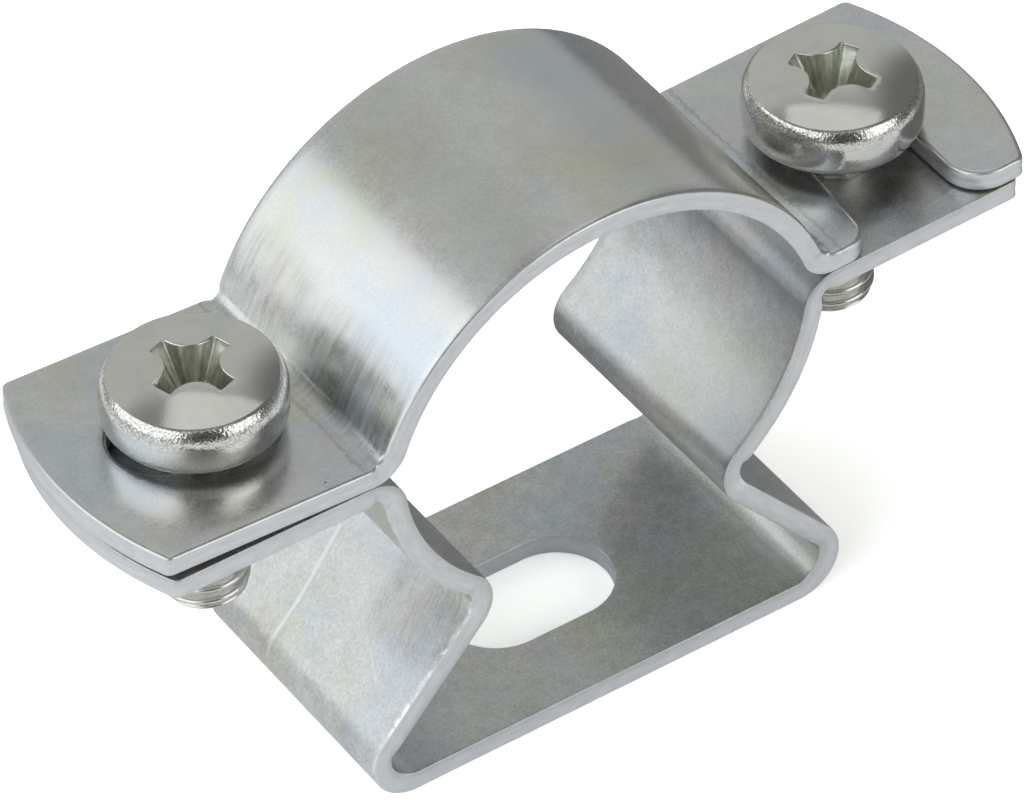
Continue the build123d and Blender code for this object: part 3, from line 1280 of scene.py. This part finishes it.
def with_bands(tree, place, tone, bands):
    """A tone, darker on the upper face in bands. Each has a travelled length, a width and a shade."""
    along, _, height = add_node(tree, "ShaderNodeSeparateXYZ", {0: place}).outputs
    wavering = noise_of(tree, place, 2.2, detail=4.0, roughness=0.7)
    wavering = remap(tree, wavering, *usual_noise, -wavering_reach, wavering_reach)
    travelled = plus(tree, math_of(tree, "ABSOLUTE", along), wavering)
    for centre, width, shade in bands:
        gap = math_of(tree, "ABSOLUTE", math_of(tree, "SUBTRACT", travelled, centre))
        band = remap(tree, gap, width, band_core * width, smooth=True)
        band = times(tree, band, on_face(tree, height, 1))
        tone = times(tree, tone, remap(tree, band, 0.0, 1.0, 1.0, shade))
    return tone


def burr_and_highlight_line(tree, place, face, strength):
    """A ragged line along the strip's long edges, on one face: burr relief and a painted highlight."""
    _, across, height = add_node(tree, "ShaderNodeSeparateXYZ", {0: place}).outputs
    off_centre = math_of(tree, "ABSOLUTE", across)
    by_edge = remap(tree, off_centre, half_width - burr_and_highlight_begin, half_width - burr_and_highlight_full)
    ragged = noise_of(tree, place, 1.6, detail=4.0, offset=(2, 8, 1))
    ragged = remap(tree, ragged, 0.44, 0.58, smooth=True)
    return times(tree, ragged, on_face(tree, height, face), by_edge, strength)


print(f"rubbing fades out over {rub_fade} mm along the strip and {rub_reach_fade} mm across it")

# %% [markdown]
# The sheet and the screws share one kind of shader: a metal whose tint, gloss and relief come
# from their own finishes. That relief is finer than a hair. Displaced for real it would need
# millions of triangles, so a bump stands for it.

# %% The metal's shader
def plate(tree, tint, metallic, gloss, relief, strength, depth):
    """The metal's shader, with its relief as a bump of some depth in millimetres."""
    bump = add_node(tree, "ShaderNodeBump", {"Strength": strength, "Distance": depth * mm, "Height": relief})
    shader = add_node(tree, "ShaderNodeBsdfPrincipled", {
        "Base Color": tint, "Metallic": metallic, "Roughness": gloss, "Normal": bump.outputs[0],
    })
    add_node(tree, "ShaderNodeOutputMaterial", {"Surface": shader.outputs[0]})


print("a bump 0.01 mm deep is", 0.01 * mm, "m to the shader")

# %% [markdown]
# Now the sheet's finish can be put together. Frost mottles its tone and its gloss, fine
# hairlines run along it from the rolling, and in the rubbed zone the lines are deep enough to
# break up what the sheet mirrors. The cut edges are cold and nearly matte, and faintly layered.

# %% The zinc on the sheet
cut_tint = (0.81, 0.83, 0.87)
# The tint of the knocked-down burr is a painted highlight.
painted_highlight_tint = (0.95, 0.955, 0.96)
scratch_tint = (0.86, 0.87, 0.88)
pit_tint = (0.03, 0.03, 0.03)
cut_dullness = 0.46
hairline_relief, frost_relief, rub_relief, cut_relief = 0.7, 0.6, 2.2, 2.0
relief_per_mottling = 0.07


def zinc_sheet(name, shine, dullness, mottling, burr, face, rub, rub_turn_deg, bands, scratches, pits):
    """The sheet's finish. The rub is the begin, end and reach of a zone, and face says which is rubbed."""
    material, tree = new_material(name)
    place = add_node(tree, "ShaderNodeAttribute", attribute_name="blank").outputs["Vector"]
    cut = add_node(tree, "ShaderNodeAttribute", attribute_name="cut").outputs["Fac"]
    frost = noise_of(tree, place, 1.1, detail=5.0, roughness=0.62)
    fine_frost = noise_of(tree, place, 5.5, detail=3.0, roughness=0.6, offset=(5, 2, 9))
    hairlines = noise_of(tree, place, 1.0, detail=4.0, roughness=0.7, stretch=(0.22, 9.0, 9.0))
    rub_way = {"Vector": place, "Angle": radians(rub_turn_deg)}
    rub_place = add_node(tree, "ShaderNodeVectorRotate", rub_way).outputs[0]
    brushed = noise_of(tree, rub_place, 1.0, detail=3.0, roughness=0.75, stretch=(0.16, 5.0, 1.0))
    rubbed = rubbed_zone(tree, place, *rub, face)
    # burr sets the strength of the edge line: the burr's relief and its painted highlight.
    burr_and_highlight = burr_and_highlight_line(tree, place, face, burr)

    tone = times(
        tree,
        remap(tree, frost, *usual_noise, 1.0 - mottling, 1.0 + 0.8 * mottling),
        remap(tree, fine_frost, 0.35, 0.65, 1.0 - mottling, 1.0 + mottling),
        shine,
        mix_value(tree, rubbed, 1.0, remap(tree, brushed, 0.38, 0.62, 0.84, 1.16)),
    )
    tint = scaled(tree, clouded_tint(tree, place), with_bands(tree, place, tone, bands))
    # Painted highlight: the ragged line along the long edges is tinted near white.
    tint = mix_colour(tree, burr_and_highlight, tint, painted_highlight_tint)
    gloss = plus(
        tree,
        remap(tree, frost, *usual_noise, dullness - 0.04, dullness + 0.04),
        remap(tree, fine_frost, 0.35, 0.65, -0.03, 0.03),
        times(tree, rubbed, remap(tree, brushed, 0.4, 0.6, 0.07, 0.20)),
    )
    relief = plus(
        tree,
        times(tree, hairlines, hairline_relief),
        times(tree, fine_frost, frost_relief),
        times(tree, brushed, rub_relief, rubbed),
        burr_and_highlight,
    )
    for start, end, width, depth in scratches:
        mark = mark_mask(tree, place, start, end, width)
        relief = plus(tree, relief, times(tree, mark, depth))
        tint = mix_colour(tree, times(tree, mark, 0.5), tint, scratch_tint)
    for spot, width in pits:
        tint = mix_colour(tree, mark_mask(tree, place, spot, spot, width), tint, pit_tint)

    sheared = noise_of(tree, place, 1.0, detail=5.0, roughness=0.65, stretch=(0.9, 0.9, 3.5))
    sheared = remap(tree, sheared, 0.36, 0.64, 0.92, 1.04)
    tint = mix_colour(tree, cut, tint, scaled(tree, cut_tint, sheared))
    relief = plus(tree, relief, times(tree, sheared, cut_relief, cut))
    gloss = mix_value(tree, cut, gloss, cut_dullness)
    plate(tree, tint, 0.90, gloss, relief, strength=0.5, depth=relief_per_mottling * mottling)
    return material


print("cut edges are tinted", cut_tint)

# %% [markdown]
# The strap is smoother and brighter than the cradle, and it's rubbed at the feet of its arch. The
# cradle is rubbed high on the outside of its walls, near the front and at a slant. The scratches
# and the one dark pit lie where the photograph shows them, given by places on the flat blank.

# %% The zinc on the strap and the cradle
foot_begin = strap_stations[1][0]
strap_finish = zinc_sheet(
    "zinc_strap", shine=1.0, dullness=0.23, mottling=0.06, burr=0.35, face=1,
    rub=(foot_begin - 3.4, foot_begin + 1.2, strip_width), rub_turn_deg=0,
    bands=[(strap_stations[2][0] + 0.45, 0.14, 0.80)],
    scratches=[((-27.6, 3.4), (-24.6, 6.6), 0.05, 0.5)],
    pits=[((-reach_along(strap_stations, 16.98), -7.40), 0.09)],
)
swing_strap.data.materials.append(strap_finish)

wall_begin, wall_end = cradle_left[2][0], cradle_left[3][0]
flange_bend_middle = (cradle_left[5][0] + cradle_left[6][0]) / 2
right_reach = reach_along(cradle_right, 0)
cradle_finish = zinc_sheet(
    "zinc_cradle", shine=0.87, dullness=0.34, mottling=0.13, burr=0.9, face=-1,
    rub=(wall_begin + 5.0, wall_end + 0.8, -1.5), rub_turn_deg=12,
    # This band is painted shade on the flange bend, which lies under the strap's arch.
    bands=[(flange_bend_middle, 2.4, 0.76)],
    scratches=[
        ((-23.8, 2.75), (-19.2, 2.3), 0.22, -1.2),
        ((-19.2, 2.3), (-15.9, 2.4), 0.22, -1.2),
        ((-22.6, -1.0), (-20.9, -1.4), 0.07, 1.0),
        ((-20.2, -3.6), (-19.1, -5.2), 0.08, 1.0),
        ((right_reach + 21.0, -6.9), (right_reach + 24.4, -6.4), 0.07, 1.0),
    ],
    pits=[],
)
cradle_strip.data.materials.append(cradle_finish)
print("sheet finishes:", strap_finish.name, cradle_finish.name)

# %% [markdown]
# The screws are plated more brightly than the sheet. Their domes are almost mirrors, but the rim
# was rolled in a coarse die, so it glitters. The recess is darker, with drawn walls.

# %% The zinc on the screws
warm_plate, cool_plate = (0.78, 0.775, 0.745), (0.72, 0.725, 0.70)
dark_drawn, light_drawn = (0.56, 0.58, 0.50), (0.74, 0.75, 0.68)
rim_dullness, recess_dullness = 0.13, 0.34
grain_depth = 0.019
least_grain = 0.08


def zinc_screw(name):
    """The screws' finish: bright on the dome, grainy on the rim and drawn in the recess."""
    material, tree = new_material(name)
    place = scaled(tree, add_node(tree, "ShaderNodeTexCoord").outputs["Object"], 1 / mm)
    rim = add_node(tree, "ShaderNodeAttribute", attribute_name="rim").outputs["Fac"]
    recess = add_node(tree, "ShaderNodeAttribute", attribute_name="recess").outputs["Fac"]
    cloud = noise_of(tree, place, 0.6, detail=3.0)
    grain = noise_of(tree, place, 7.5, detail=1.5)
    drawn = noise_of(tree, place, 5.0, stretch=(1, 1, 0.04))
    speckle = noise_of(tree, place, 9.0, detail=1.5, offset=(4, 9, 2))

    tint = mix_colour(tree, remap(tree, cloud, 0.35, 0.65), warm_plate, cool_plate)
    drawn_tint = mix_colour(tree, remap(tree, drawn, 0.38, 0.62), dark_drawn, light_drawn)
    tint = mix_colour(tree, recess, tint, drawn_tint)
    tint = scaled(tree, tint, mix_value(tree, rim, 1.0, remap(tree, speckle, 0.40, 0.60, 0.66, 1.22)))
    gloss = mix_value(tree, rim, remap(tree, cloud, *usual_noise, 0.10, 0.15), rim_dullness)
    gloss = mix_value(tree, recess, gloss, recess_dullness)
    relief = times(tree, grain, plus(tree, rim, least_grain))
    plate(tree, tint, 1.0, gloss, relief, strength=1.0, depth=grain_depth)
    return material


screw_finish = zinc_screw("zinc_screw")
for piece in (left_clamp_screw, right_clamp_screw):
    piece.data.materials.append(screw_finish)
print("screw finish:", screw_finish.name, "with", len(screw_finish.node_tree.nodes), "nodes")

# %% [markdown]
# ## Into the frame
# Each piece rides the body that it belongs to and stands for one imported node. So it follows the
# model into every pose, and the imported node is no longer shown.

# %% Ride, replace and check
for piece, body, node, finish in (
    (cradle_strip, "cradle", "base_cradle", "plated_sheet"),
    (swing_strap, "strap", "top_strap", "plated_sheet"),
    (left_clamp_screw, "left_screw", "screw_left", "plated_screw"),
    (right_clamp_screw, "right_screw", "screw_right", "plated_screw"),
):
    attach(piece, body)
    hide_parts(node)

shown_low, shown_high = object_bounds()
for label, low, high in (("packed", cad_low, cad_high), ("shown", shown_low, shown_high)):
    print(label, "box in mm:", [round(c / mm, 3) for c in low], [round(c / mm, 3) for c in high])
